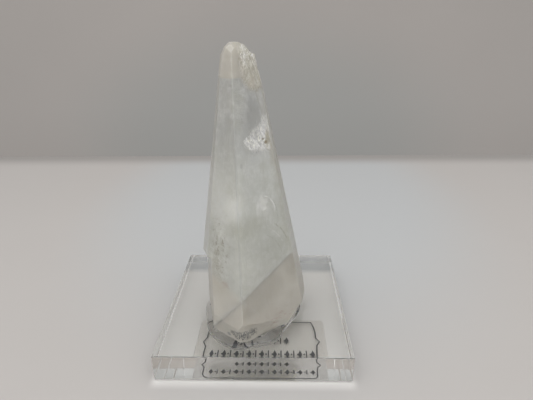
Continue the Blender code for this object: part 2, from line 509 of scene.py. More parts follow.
def leftStep(grow):
    (riserPoint, riserNormal), (ledgePoint, ledgeNormal) = [plane(*face) for face in crystal["leftStep"]]
    return solidBetween(grown([(riserPoint, -riserNormal), (ledgePoint, -ledgeNormal)], -grow))


def sliceAcross(bm, axis, spots, wanted):
    normal = Vector([1.0 if k == axis else 0.0 for k in range(3)])
    for spot in spots:
        geom = set()
        for face in bm.faces:
            if wanted(face):
                geom.add(face)
                geom.update(face.edges)
                geom.update(face.verts)
        if geom:
            bmesh.ops.bisect_plane(bm, geom=list(geom), dist=1e-4, plane_co=normal * spot, plane_no=normal)


def spread(low, high, step):
    count = max(1, round((high - low) / step))
    return [low + (high - low) * index / count for index in range(1, count)]


# Cuts the flat faces into small ones that can carry the relief, finer at the tip and the foot
def sliceUp(bm):
    low = [min(v.co[k] for v in bm.verts) for k in range(3)]
    high = [max(v.co[k] for v in bm.verts) for k in range(3)]
    fineAbove, fineBelow = crystal["fineAbove"], crystal["fineBelow"]
    heights = [z for z in spread(low[2], high[2], crystal["fineSlice"]) if z > fineAbove or z < fineBelow]
    heights += spread(max(low[2], fineBelow), min(high[2], fineAbove), crystal["slice"])
    sliceAcross(bm, 2, heights, lambda f: True)

    def facing(axis, other):
        return lambda f: abs(f.normal[other]) >= abs(f.normal[axis]) or abs(f.normal.z) > levelFace

    def fineFacing(axis, other):
        return lambda f: facing(axis, other)(f) and not fineBelow < f.calc_center_median().z < fineAbove

    for axis, other in ((0, 1), (1, 0)):
        coarse = spread(low[axis], high[axis], crystal["slice"])
        sliceAcross(bm, axis, coarse, facing(axis, other))
        sliceAcross(bm, axis, [spot + crystal["slice"] / 2.0 for spot in coarse], fineFacing(axis, other))


# 1 inside a soft-edged ellipsoid, 0 outside
def near(p, centre, radii, edge=0.35):
    reach = math.sqrt(sum(((a - c) / r) ** 2 for a, c, r in zip(p, centre, radii)))
    t = min(1.0, max(0.0, (1.0 + edge - reach) / (2.0 * edge)))
    return t * t * (3.0 - 2.0 * t)


relief = {  # size, height, and how far it is set in as a share of the height
    "wave": (7.0, 0.05, 0.0),
    "tip": (0.8, 0.16, 2.2),
    "frost": (0.7, 0.10, 0.0),
    "worn": (0.6, 0.12, 0.3),
    "foot": (2.2, 0.12, 0.2),
    "growth": (0.55, 0.016),
    "octaves": (0.8, 2.1, 3),  # how much rougher, how much finer, and how many
    "chip": 0.22,
    "chippedFrom": 12.0,  # edges that turn by more than this are chipped
    "crackMargin": 0.05,  # points this close to the crack stay where they are
    "sliver": 0.07,
}

zones = {  # where the relief lies: place, radii, soft edge if not the usual
    "tip": ((1.6, -9.0, 77.0), (3.6, 6.0, 8.5)),
    "tipEnd": ((-2.0, -9.0, 80.0), (6.0, 6.0, 3.0)),
    "frost": ((1.8, -11.2, 60.4), (3.2, 3.6, 3.6)),
    "worn": ((-8.0, -17.0, 31.0), (2.6, 3.2, 9.0), 0.5),
    "foot": ((0.0, -8.0, 9.0), (40.0, 40.0, 7.0)),
    "lowChips": ((0.0, -8.0, 9.0), (40.0, 40.0, 20.0)),
    "highChips": ((-3.0, -8.0, 82.0), (9.0, 9.0, 10.0)),
}


def rough(name, p):
    size, height, setIn = relief[name]
    return height * (noise.fractal(Vector(p) / size, *relief["octaves"]) - setIn)


# How far a point of the flat faces moves out
def reliefAt(p, normal, onEdge):
    where = {name: near(p, *zone) for name, zone in zones.items()}
    size, height = relief["growth"]
    out = rough("wave", p) + height * noise.noise(Vector((p.x * 0.12, p.y * 0.12, p.z / size)))
    out += max(where["tip"], 0.35 * where["tipEnd"]) * rough("tip", (p.x, p.y, p.z * 0.55))
    out += where["frost"] * rough("frost", (p.x + p.z * 0.5, p.y, p.z * 0.5))
    out += where["worn"] * rough("worn", p)
    out += where["foot"] * rough("foot", p) * (1.0 if normal.z < -0.08 else 0.25)
    if onEdge:
        bite = noise.noise(Vector(p) / 1.1) + 0.5 * noise.noise(Vector(p) / 0.4)
        chipped = max(where["lowChips"], where["highChips"], where["worn"])
        out -= relief["chip"] * max(0.0, bite - 0.3) * chipped
    return out


def displace(bm):
    point, normal = plane(*crystal["crack"])
    sharp = set()
    for edge in bm.edges:
        if len(edge.link_faces) == 2 and edge.calc_face_angle(0.0) > math.radians(relief["chippedFrom"]):
            sharp.update(edge.verts)
    moves = {}
    for v in bm.verts:
        if abs((v.co - point).dot(normal)) >= relief["crackMargin"]:
            moves[v] = v.normal * reliefAt(v.co, v.normal, v in sharp)
    for v, move in moves.items():
        v.co += move
        v.co.z = min(v.co.z, crystal["top"])


def makeCrystal():
    whole = bmesh.new()
    for block in crystalBlocks():
        solid = without(block, leftStep(0.0))
        sliceUp(solid)
        bmesh.ops.dissolve_degenerate(solid, dist=relief["sliver"], edges=solid.edges)
        bmesh.ops.poke(solid, faces=[f for f in solid.faces if len(f.verts) > 4])
        bmesh.ops.triangulate(solid, faces=solid.faces)
        displace(solid)
        whole.from_mesh(fromBmesh(solid, "part"))
    return smoothMesh(whole, "crystalBody", crystal["sharpFrom"])


calcite = {
    "milk": 0.50,  # how much of the surface is milky, the rest is clear
    "scatter": (0.004, 0.004, 0.0036),
    "clear": (0.96, 0.96, 0.94),
    "fog": (0.92, 0.93, 0.855),
    "fogDensity": 12.0,
    "wetRefraction": 1.08,  # of its clear part where it stands in the glue
    "alongFace": (0.731, 0.682, 0.0),  # the level way along the right front face
    "ridgeFaces": (0, 5),  # the long faces that meet in the front ridge
}

tones = {
    "dark": (0.46, 0.465, 0.435),
    "pale": (0.61, 0.615, 0.57),
    "low": (0.53, 0.55, 0.465),
    "high": (0.34, 0.345, 0.33),
    "tip": (0.56, 0.525, 0.455),
    "pink": (0.57, 0.525, 0.45),
    "tan": (0.76, 0.725, 0.64),
    "white": (0.92, 0.92, 0.90),
    "cream": (0.97, 0.955, 0.90),
    "olive": (0.40, 0.40, 0.32),
    "stain": (0.34, 0.31, 0.22),
    "brown": (0.20, 0.145, 0.07),
    "grey": (0.29, 0.29, 0.28),
    "blue": (0.07, 0.08, 0.10),
    "red": (0.36, 0.20, 0.15),
}

textures = {  # stretch or None, size, detail, roughness, twist
    "wide": (None, 9.0, 4.0, 0.55),
    "fine": (None, 1.4, 5.0, 0.6),
    "veil": ((1.0, 1.0, 0.22), 1.6, 4.0, 0.6, 0.4),
    "lines": ((0.12, 0.12, 1.0), 0.5, 3.0, 0.6),
    "scratch": ((1.0, 1.0, 0.05), 0.35, 2.0, 0.6, 0.6),
    "crust": ((1.0, 1.0, 0.45), 0.42, 4.0, 0.65, 1.5),
    "dashes": ((1.0, 1.0, 0.7), 0.75, 4.0, 0.75, 0.6),
    "ripple": ((0.30, 0.30, 1.0), 0.40, 2.0, 0.5, 1.2),
    "stripes": ((0.25, 0.25, 1.0), 0.5, 3.0, 0.6, 0.8),
}

fades = {  # heights where a tone starts and where it is full
    "tip": (73.48, 73.72),
    "upper": (74.5, 78.0),
    "ridge": (70.0, 60.0),
    "stain": (64.0, 56.0),
    "high": (52.0, 63.0),
    "low": (60.0, 42.0),
    "white": (58.0, 48.0),
    "pale": (34.0, 26.0),
    "foot": (13.5, 10.0),
}

sideFades = {  # the same, along the right front face
    "tip": (-8.2, -7.6),
    "right": (-3.0, 1.5),
}

patches = {  # place, radii, soft edge
    "crust": ((1.3, -8.0, 75.9), (3.9, 6.5, 5.6), 0.12),
    "crustTop": ((-0.5, -8.8, 79.2), (2.0, 4.5, 2.6), 0.15),
    "bands": ((-1.7, -13.3, 68.0), (1.8, 2.8, 6.4), 0.4),
    "worn": ((-8.0, -17.2, 33.0), (2.6, 3.2, 8.5), 0.6),
    "streaks": ((6.2, -16.0, 12.4), (5.0, 5.0, 2.6), 0.4),
    "paintedPrintView": ((-2.2, -21.2, 12.0), (3.4, 3.0, 1.7), 0.3),
    "dot": ((-6.2, -19.8, 10.7), (0.6, 0.8, 0.5), 0.4),
}

frostEdges = (  # shares of the way along, height and fringe, place, softness
    (0.7, -1.0, 1.0, 67.245, 0.4),
    (0.0, 1.0, 0.5, -56.9, 0.3),
    (0.8, 1.0, 0.5, -50.44, 0.3),
    (0.0, -1.0, 0.5, 64.8, 0.3),
    (-1.0, 0.0, 0.2, -1.6, 0.2),
    (1.0, 0.0, 0.2, 10.6, 0.2),
)

marks = (  # place, radii, soft edge, ragged, strength, tone, more milk
    ((0.9, -9.7, 72.3), (1.1, 1.6, 1.3), 0.4, 0.8, 0.45, "pink", 0.0),
    ((-2.4, -13.5, 68.6), (1.5, 2.6, 5.4), 0.3, 0.9, 0.15, "olive", 0.10),
    ((1.1, -10.4, 68.2), (1.3, 2.2, 2.8), 0.4, 0.4, 0.30, "grey", 0.05),
    ((-0.4, -12.6, 64.2), (1.5, 2.2, 2.6), 0.4, 0.4, 0.30, "grey", 0.05),
    ((1.0, -11.2, 66.0), (2.1, 2.6, 4.6), 0.5, 0.4, 0.55, "grey", 0.10),
    ((1.0, -11.9, 57.0), (2.6, 2.5, 0.55), 0.6, 1.0, 0.45, "grey", -0.1),
    ((3.6, -9.9, 58.8), (0.45, 0.7, 0.4), 0.5, 0.8, 0.85, "brown", 0.2),
    ((2.9, -10.5, 59.7), (0.3, 0.5, 0.25), 0.5, 0.8, 0.70, "brown", 0.2),
    ((4.1, -9.3, 60.2), (0.6, 1.2, 2.4), 0.5, 1.2, 0.75, "stain", 0.1),
    ((4.9, -8.8, 56.2), (0.8, 1.4, 2.8), 0.5, 1.2, 0.62, "stain", 0.0),
    ((6.0, -7.8, 52.2), (0.9, 1.5, 3.0), 0.5, 1.2, 0.55, "stain", 0.0),
    ((6.8, -6.6, 48.4), (0.9, 1.8, 2.8), 0.5, 1.2, 0.45, "stain", 0.0),
    ((2.9, -11.7, 53.2), (1.2, 1.3, 1.3), 0.6, 1.0, 0.40, "olive", 0.05),
    ((2.9, -12.5, 49.2), (1.1, 1.3, 1.6), 0.6, 1.0, 0.40, "olive", 0.05),
    ((1.0, -13.0, 55.4), (0.9, 1.1, 0.8), 0.15, 0.3, 0.30, "grey", -0.1),
    ((-1.9, -15.8, 54.6), (0.25, 0.5, 0.55), 0.4, 0.3, 0.60, "grey", 0.0),
    ((2.7, -13.8, 44.6), (1.4, 1.6, 1.8), 0.25, 2.4, 0.50, "white", 0.16),
    ((3.6, -13.0, 42.6), (1.0, 1.2, 1.2), 0.35, 1.6, 0.35, "white", 0.10),
    ((1.6, -14.9, 43.4), (0.5, 0.7, 1.9), 0.35, 1.2, 0.35, "white", 0.10),
    ((-3.0, -18.3, 45.8), (2.6, 2.6, 3.2), 0.7, 0.8, 0.35, "white", 0.14),
    ((-6.5, -16.5, 44.0), (3.4, 3.0, 6.5), 0.6, 1.1, 0.30, "white", 0.14),
    ((-0.2, -17.2, 39.6), (6.0, 3.2, 2.3), 0.6, 0.5, 0.50, "olive", 0.06),
    ((-5.4, -18.3, 49.0), (3.0, 2.5, 2.0), 0.6, 0.6, 0.35, "olive", 0.04),
    ((-1.0, -19.5, 31.0), (4.5, 3.5, 5.0), 0.7, 0.5, 0.15, "white", 0.08),
    ((-6.6, -19.2, 25.3), (1.1, 1.1, 0.8), 0.5, 1.0, 0.50, "red", 0.1),
    ((-8.9, -16.8, 28.6), (1.6, 2.6, 5.2), 0.5, 1.2, 0.40, "stain", 0.0),
    ((-8.4, -17.2, 37.0), (1.7, 2.2, 5.0), 0.5, 1.3, 0.15, "olive", 0.0),
    ((12.5, -5.0, 17.3), (1.4, 6.5, 4.5), 0.5, 0.8, 0.40, "olive", 0.0),
    ((6.4, -12.6, 33.0), (3.5, 3.5, 4.5), 0.6, 1.0, 0.20, "olive", 0.0),
    ((0.4, -21.3, 14.9), (3.0, 1.5, 0.9), 0.6, 1.0, 0.35, "tip", 0.1),
    ((-8.0, -18.6, 13.5), (3.5, 3.0, 3.5), 0.6, 0.6, 0.45, "tan", 0.1),
)

threads = (  # rings of fracture: place, radii, width, strength, tone, part seen
    ((2.0, -14.2, 42.4), (4.6, 4.6, 4.2), 0.045, 0.90, "white", (5.4, -11.6, 45.0), (3.0, 3.0, 3.2)),
    ((4.4, -12.8, 41.0), (2.6, 2.6, 4.6), 0.040, 0.60, "grey", (6.4, -11.2, 41.0), (1.6, 2.0, 4.0)),
    ((6.5, -14.0, 20.0), (6.5, 6.5, 9.5), 0.012, 0.30, "white", (9.8, -10.0, 27.0), (2.0, 2.0, 3.0)),
    ((0.0, -16.0, 27.0), (12.0, 12.0, 14.0), 0.022, 0.60, "olive", (7.6, -10.6, 37.0), (2.6, 3.0, 5.0)),
    ((0.0, -16.0, 27.0), (10.4, 10.4, 12.4), 0.022, 0.60, "white", (6.4, -11.6, 36.0), (2.6, 3.0, 5.0)),
    ((0.0, -16.0, 27.0), (9.0, 9.0, 10.6), 0.022, 0.50, "olive", (5.4, -12.4, 34.0), (2.6, 3.0, 4.5)),
    ((-3.0, -17.0, 60.0), (4.0, 4.0, 9.0), 0.012, 0.25, "grey", (-1.0, -14.0, 52.0), (3.0, 3.0, 6.0)),
)


# The crystal's surface, painted from its widest tones to its smallest marks
class Calcite(Surface):
    def __init__(self):
        super().__init__("milky calcite")
        self.at = self.place()
        self.height = self.axis(self.at, "Z") / mm
        self.along = self.vector("DOT_PRODUCT", self.at, calcite["alongFace"], out="Value") / mm
        for name in ("wide", "fine", "veil", "lines", "scratch", "crust", "dashes"):
            setattr(self, name, self.texture(name))
        self.wobble = (self.fine - 0.5) * 1.6

    def texture(self, name):
        stretch, *values = textures[name]
        at = self.vector("MULTIPLY", self.at, stretch) if stretch else self.at
        return self.cloud(at, *values)

    def spot(self, name, wobble):
        return self.patch(self.at, *patches[name], wobble)

    def fade(self, name):
        return self.step(self.height, *fades[name])

    def beyond(self, name):
        return self.past(self.at, *plane(*crystal[name]))

    def paint(self, mask, tone):
        self.base = self.blend(mask, self.base, tones[tone])


# The parted foot, right of the crack and left of the cleft
def findBreaks(s):
    s.crack = s.step(s.beyond("crack"), 0.0, 0.04 * mm)
    s.cleft = s.step(s.beyond("cleft"), -1.0 * mm, 1.0 * mm)
    s.broken = s.crack.atLeast(s.cleft)
    s.cleftLine = s.step(s.beyond("cleft"), -0.2 * mm, 0.0) * (1 - s.cleft)


# The dull tip with its crust, and the frosted patch on the right front face
def findCrusts(s):
    height, along = s.height, s.along
    tip = s.step(height + (s.fine - 0.5) * 0.5, *fades["tip"])
    crusted = s.spot("crust", (s.crust - 0.5) * 0.8)
    s.crusted = crusted.atLeast(s.spot("crustTop", (s.crust - 0.5) * 0.6))
    s.upper = s.fade("upper")
    s.tip = tip.atLeast(s.crusted)
    slant = {0: (along + height * 0.5) * mm, 1: (height - along * 0.5) * (0.2 * mm)}
    s.strokes = s.cloud(s.add("ShaderNodeCombineXYZ", {}, slant), 0.38, 4.0, 0.6, 0.8)
    fringe = (s.strokes - 0.5) * 6.0 + (s.fine - 0.5) * 2.0
    s.frost = 1.0
    for alongShare, heightShare, fringeShare, place, soft in frostEdges:
        inside = along * alongShare + height * heightShare + fringe * fringeShare + place
        s.frost = s.step(inside, -soft, soft) * s.frost


# The long faces: dark above, paler below, with bands and mottling, and painted shade on the faces turned
# sideways and along the ridge between them
def paintFaces(s):
    fine, side = s.fine, s.facing("X")
    s.base = s.blend(s.wide, tones["dark"], tones["pale"])
    s.paint(s.fade("low") * 0.4, "low")
    s.paint(s.fade("high") * 0.75, "high")
    # Painted shade: faces turned to the sides are painted darker olive, as along the silhouettes
    s.paint(s.step(abs(side), 0.86, 0.95) * 0.40, "olive")
    s.paint(s.step(side, 0.86, 0.95) * s.fade("stain") * 0.35, "stain")
    s.paint(s.step(side, -0.3, -0.5) * s.fade("white") * 0.25, "white")
    s.paint(s.step(s.along, *sideFades["right"]) * 0.25, "olive")
    bands = s.spot("bands", s.wobble * 0.8) * s.step(s.texture("ripple"), 0.50, 0.58)
    s.paint(bands * 0.36, "white")
    s.milk = (s.wide - 0.5) * 0.35 + calcite["milk"] + (s.veil - 0.5) * 0.30 + bands * 0.1
    flecks = s.step(fine, 0.50, 0.62) * 0.20 + s.step(s.scratch, 0.52, 0.66) * 0.16
    s.paint(flecks, "white")
    s.paint(s.step(fine, 0.48, 0.36) * 0.24, "olive")
    # Painted shade along the front ridge, to darken the light line that the edge catches
    right, left = (s.past(s.at, *longPlanes(False)[index]) for index in calcite["ridgeFaces"])
    ridge = s.step(right + left, -0.55 * mm, -0.05 * mm)
    s.paint(ridge * s.fade("ridge") * 0.55, "grey")


def paintCrusts(s):
    tip, crusted, crust, frost = s.tip, s.crusted, s.crust, s.frost
    s.paint(tip * 0.85, "tip")
    s.paint(tip * s.step(s.along, *sideFades["tip"]) * 0.30, "olive")
    # Partly a real crust, partly painted highlight: cream strokes, stronger towards the top, stand in for
    # light from above
    s.paint(crusted * s.step(crust, 0.51, 0.55) * (s.upper * 0.60 + 0.35), "cream")
    s.paint(crusted * s.step(crust, 0.49, 0.44) * (s.upper * 0.30 + 0.30), "stain")
    scales = s.step(s.strokes + (crust - 0.5) * 0.8, 0.42, 0.58)
    s.paint(frost * (scales * 0.65 + 0.20), "white")
    s.paint(frost * s.step(crust, 0.52, 0.57) * 0.85, "cream")
    s.paint(frost * s.step(crust, 0.46, 0.40) * 0.50, "grey")
    milk = s.milk.atLeast(tip * 0.70).atLeast(crusted * 0.9)
    s.milk = milk.atLeast(frost * (scales * 0.45 + 0.45))


def paintMarks(s):
    for place, radii, edge, ragged, strength, tone, more in marks:
        mask = s.patch(s.at, place, radii, edge, s.wobble * ragged) * strength
        s.paint(mask, tone)
        s.milk += mask * (more / strength)
    for place, radii, width, strength, tone, part, partRadii in threads:
        away = s.reach(s.at, place, radii) - 1.0 + (s.veil - 0.5) * 0.08
        mask = s.step(abs(away), width, width * 0.3) * s.step(s.fine, 0.38, 0.50) * strength
        mask = mask * s.patch(s.at, part, partRadii, 0.3)
        s.paint(mask, tone)
        s.milk += mask * 0.3


# The worn left edge and the two breaks above the foot
def paintBreaks(s):
    s.worn = s.spot("worn", s.wobble)
    s.paint(s.worn * s.step(s.dashes, 0.56, 0.62) * 0.75, "brown")
    s.paint(s.worn * s.step(s.dashes, 0.45, 0.39) * 0.60, "white")
    s.milk += s.worn * 0.12
    # Painted light: outside the parted foot the body is painted a little paler towards the bottom
    s.paint((1 - s.broken) * s.fade("pale") * 0.10, "white")
    # Painted see-through: the parted foot is painted the pinkish grey of the shaded table that shows through
    # it
    s.paint(s.broken * 0.85, "pink")
    s.paint((1 - s.crack) * s.cleft * 0.55, "tan")
    s.paint(s.cleftLine * 0.25, "white")
    s.milk = s.milk * (1 - s.crack * 0.10) + s.crack * 0.06


def paintFoot(s):
    foot = s.fade("foot")
    streaks = s.spot("streaks", s.wobble) * s.step(s.texture("stripes"), 0.55, 0.66)
    s.paint(foot * 0.5, "tan")
    s.paint(streaks * 0.80, "red")
    # Painted see-through: a dark blue patch on the foot stands in for the label's print seen through it
    paintedPrintView = s.spot("paintedPrintView", s.wobble * 0.8) * s.step(s.crust, 0.44, 0.56)
    s.paint(paintedPrintView * 0.95, "blue")
    s.paint(s.spot("dot", s.wobble) * 0.7, "blue")
    # Painted light: faces turned downwards are painted white and made milkier, to lighten the underside that
    # little light reaches
    down = s.step(s.facing("Z"), -0.35, -0.8)
    s.paint(down * 0.8, "white")
    s.milk = s.milk + foot * 0.18 + paintedPrintView * 0.6 + down * 0.3


# Clear and milky calcite, mixed by the milk. Its back faces and the glued foot are clearer
def shaded(s):
    grain = (s.lines * 0.30 + s.fine * 0.25 + s.veil * 0.2 + s.scratch * 0.15
             + s.crusted * s.crust * 2.0 + s.frost * s.strokes * 2.0 + s.worn * s.dashes)
    gloss = s.step(s.fine, 0.3, 0.8) * 0.10 + 0.285 + s.frost.atLeast(s.tip) * 0.15
    bump = s.bump(grain, 0.14, 0.35)
    clear, wet = (s.principled(Base_Color=calcite["clear"], Roughness=gloss, Transmission_Weight=1.0,
                               IOR=refraction, Normal=bump)
                  for refraction in (crystal["refraction"], calcite["wetRefraction"]))
    milky = s.principled(Base_Color=s.base, Roughness=gloss + 0.05, IOR=crystal["refraction"],
                         Subsurface_Weight=1.0, Subsurface_Radius=calcite["scatter"],
                         Subsurface_Scale=1.0, Normal=bump)
    inside = s.add("ShaderNodeNewGeometry", out="Backfacing")
    glued = s.add("ShaderNodeAttribute", {"attribute_name": "glued"}, {}, "Fac")
    clear = s.mixed(glued, clear, wet)
    surface = s.mixed(s.milk.atMost(1.0) * (1 - inside) * (1 - glued * 0.10), clear, milky)
    fog = s.add("ShaderNodeVolumeAbsorption", {}, {"Color": calcite["fog"], "Density": calcite["fogDensity"]})
    return s.finish(surface, fog)


def calciteMaterial():
    s = Calcite()
    for stage in (findBreaks, findCrusts, paintFaces, paintCrusts, paintMarks, paintBreaks, paintFoot):
        stage(s)
    return shaded(s)


crystalMesh = makeCrystal()
print("crystal cut", len(crystalMesh.polygons), "faces")


glue = {
    "outline": (
        (11.9, -8.6), (13.0, -3.0), (11.0, 2.6), (5.6, 6.2), (-1.2, 7.0),
        (-8.0, 5.6), (-12.6, 1.6), (-14.6, -4.0), (-13.9, -10.0), (-12.2, -16.0),
        (-8.6, -20.5), (-3.4, -23.3), (0.6, -22.0), (5.6, -20.1), (8.3, -15.0),
    ),
    "profile": (  # share of the way out, height over the slab
        (1.00, 0.0), (1.0, 0.10), (0.996, 0.28), (0.988, 0.45), (0.975, 0.60), (0.958, 0.74),
        (0.94, 0.86), (0.91, 1.03), (0.88, 1.20), (0.84, 1.45), (0.80, 1.72), (0.75, 2.1),
        (0.70, 2.50), (0.64, 2.9), (0.58, 3.35), (0.44, 4.20),
    ),
    "middle": (-0.8, -8.4),
    "steps": 8,
    "floor": 8.13,
    "gap": 0.03,  # between the glue and the crystal
    "pocket": 0.3,
    "pocketTop": 20.0,
    "fineEdge": 0.9,  # long edges within the fine reach of the crystal are split
    "fineReach": 0.7,
    "snapReach": 0.48,  # points this close to the crystal follow it, above the floor
    "snapRise": 0.1,
    "floorSkin": 0.02,
    "touching": 0.12,  # faces closer to the crystal than this are bonded to it
    "wetBelow": 11.5,  # the crystal is marked as glued below this and within the wet reach
    "wetReach": 0.15,
    "sharpFrom": 40.0,
    "refraction": 1.48,
}


# A closed smooth curve through the points
def smoothLoop(points, steps):
    count = len(points)
    found = []
    for index in range(count):
        a, b, c, d = (Vector(points[(index + shift) % count]) for shift in (-1, 0, 1, 2))
        for step in range(steps):
            t = step / steps
            found.append(0.5 * (2.0 * b + (c - a) * t + (2.0 * a - 5.0 * b + 4.0 * c - d) * t ** 2
                                + (3.0 * b - a - 3.0 * c + d) * t ** 3))
    return found


def puddle():
    bm = bmesh.new()
    middle = Vector(glue["middle"])
    rings = []
    for share, height in glue["profile"]:
        ring = []
        for flat in smoothLoop(glue["outline"], glue["steps"]):
            spot = middle + (flat - middle) * share
            ring.append(bm.verts.new((spot.x, spot.y, glue["floor"] + height)))
        rings.append(ring)
    for lower, upper in zip(rings, rings[1:]):
        for i in range(len(lower)):
            bm.faces.new((lower[i - 1], lower[i], upper[i], upper[i - 1]))
    bm.faces.new(reversed(rings[0]))
    bm.faces.new(rings[-1])
    bmesh.ops.recalc_face_normals(bm, faces=bm.faces)
    return bm


# The room that the crystal's foot takes in the glue
def pocket(grow):
    whole = solidBetween(grown(longPlanes(False) + footPlanes(glue["pocketTop"]), grow))
    return without(whole, leftStep(grow))


def searchTree(mesh, unit):
    spots = [v.co / unit for v in mesh.vertices]
    return BVHTree.FromPolygons(spots, [tuple(face.vertices) for face in mesh.polygons])


def makeGlue():
    bm = without(puddle(), pocket(glue["pocket"]))
    bmesh.ops.triangulate(bm, faces=bm.faces)
    tree = searchTree(crystalMesh, mm)
    for step in range(3):  # the pocket's wall follows the broken foot
        long = [e for e in bm.edges if e.calc_length() > glue["fineEdge"]
                and all(tree.find_nearest(v.co)[3] < glue["fineReach"] for v in e.verts)]
        bmesh.ops.subdivide_edges(bm, edges=long, cuts=1)
        bmesh.ops.triangulate(bm, faces=bm.faces)
    for v in bm.verts:
        spot, normal, index, distance = tree.find_nearest(v.co)
        if distance < glue["snapReach"] and v.co.z > glue["floor"] + glue["snapRise"]:
            v.co = spot + normal * glue["gap"]
    for face in bm.faces:
        middle = face.calc_center_median()
        spot, normal, index, distance = tree.find_nearest(middle)
        under = face.normal.z < -levelFace and middle.z < glue["floor"] + glue["floorSkin"]
        inPocket = distance < glue["touching"] and face.normal.dot(normal) < -0.2
        face.material_index = 1 if under or inPocket else 0
    return smoothMesh(bm, "gluePuddle", glue["sharpFrom"])


def clearMaterial(name, tint, refraction, rough=0.02):
    s = Surface(name)
    return s.finish(s.principled(Base_Color=tint, Roughness=rough, Transmission_Weight=1.0, IOR=refraction))


glueMesh = makeGlue()
gluePuddle = meshObject("gluePuddle", glueMesh,
                        clearMaterial("clear glue", (0.98, 0.98, 0.97), glue["refraction"]),
                        clearMaterial("glue against glue", (1.0, 1.0, 1.0), 1.0, 0.0))
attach(gluePuddle, "root")
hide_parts("glue")
print("glue ready", len(glueMesh.polygons), "faces")


# Where the crystal stands in the glue, as an attribute that its material reads
def markGlued():
    tree = searchTree(glueMesh, 1.0)
    mark = crystalMesh.attributes.new("glued", "FLOAT", "POINT")
    values = []
    for v in crystalMesh.vertices:
        distance = tree.find_nearest(v.co)[3]
        wet = v.co.z < glue["wetBelow"] * mm and distance < glue["wetReach"] * mm
        values.append(1.0 if wet else 0.0)
    mark.data.foreach_set("value", values)


markGlued()
crystalBody = meshObject("crystalBody", crystalMesh, calciteMaterial())
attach(crystalBody, "root")
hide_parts("crystal")
print("crystal ready")


veilHalf = 0.04  # half of a veil's thickness
veils = (  # place, half sizes, azimuth and rise of its face
    ((-4.2, -11.5, 46.5), (3.2, 4.6), -25.0, 15.0),
    ((2.0, -10.0, 43.8), (2.0, 2.8), 58.0, -25.0),
    ((-3.6, -9.0, 35.5), (4.2, 5.0), 18.0, 40.0),
    ((-2.2, -8.0, 57.5), (2.2, 4.4), -60.0, 12.0),
    ((3.6, -9.5, 31.5), (4.6, 5.0), 64.2, -39.9),
    ((-5.0, -11.5, 27.0), (3.6, 4.2), -55.8, -39.9),
    ((0.5, -3.0, 38.0), (3.8, 6.0), 175.0, 20.0),
    ((-4.0, -4.5, 24.0), (4.5, 4.5), 184.0, -40.0),
)


# Thin healed fractures sealed in the crystal, white and see-through
def veilMaterial():
    s = Surface("healed fracture")
    wisp = s.cloud(s.place(), 1.8, 5.0, 0.65, 0.6)
    white = s.principled(Base_Color=(0.85, 0.85, 0.82), Roughness=0.6)
    return s.finish(s.mixed(s.step(wisp, 0.42, 0.70) * 0.55, s.seeThrough(), white))


def makeVeils():
    whole = bmesh.new()
    for place, (wide, tall), azimuth, rise in veils:
        turn = direction(azimuth, rise).to_track_quat("Z", "Y").to_matrix().to_4x4()
        flat = Matrix.Diagonal((wide, tall, veilHalf, 1.0))
        bmesh.ops.create_icosphere(whole, subdivisions=3, radius=mm,
                                   matrix=Matrix.Translation(Vector(place) * mm) @ turn @ flat)
    mesh = fromBmesh(whole, "crystalVeils")
    mesh.shade_smooth()
    return mesh


crystalVeils = meshObject("crystalVeils", makeVeils(), veilMaterial())
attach(crystalVeils, "root")
print("veils ready")


slab = {
    "side": 50.8,
    "low": 0.5,
    "high": 8.1,
    "edge": 0.25,
    "sharpFrom": 10.0,
    "refraction": 1.49,
    "tint": (0.993, 1.0, 0.995),
    "edgeTint": (0.98, 0.975, 0.945),
    "dullMiddle": 1.8,  # the film's adhesive dulls the underside between these fades
    "dullSide": (17.8, 17.3),
    "dullFront": (-24.8, -24.3),
    "dullBack": (-6.0, -6.5),
    "dullBelow": (0.7, 0.6),
}


# The slab, with the glue's outline as a face of its own in its top
def makeSlab():
    bm = bmesh.new()
    place = Matrix.Translation((0, 0, (slab["low"] + slab["high"]) / 2.0))
    size = Matrix.Diagonal((slab["side"], slab["side"], slab["high"] - slab["low"], 1.0))
    bmesh.ops.create_cube(bm, size=1.0, matrix=place @ size)
    bmesh.ops.bevel(bm, geom=bm.edges[:], offset=slab["edge"], segments=3, profile=0.5, affect="EDGES")
    top = max(bm.faces, key=lambda f: f.calc_center_median().z)
    rim = list(top.edges)
    bmesh.ops.delete(bm, geom=[top], context="FACES_ONLY")
    outline = smoothLoop(glue["outline"], glue["steps"])
    inner = [bm.verts.new((spot.x, spot.y, slab["high"])) for spot in outline]
    loop = [bm.edges.new((inner[i - 1], inner[i])) for i in range(len(inner))]
    bmesh.ops.triangle_fill(bm, use_beauty=True, edges=rim + loop, normal=(0, 0, 1))
    bonded = bm.faces.new(inner)
    bonded.material_index = 1
    bmesh.ops.recalc_face_normals(bm, faces=bm.faces)
    return smoothMesh(bm, "clearSlab", slab["sharpFrom"])


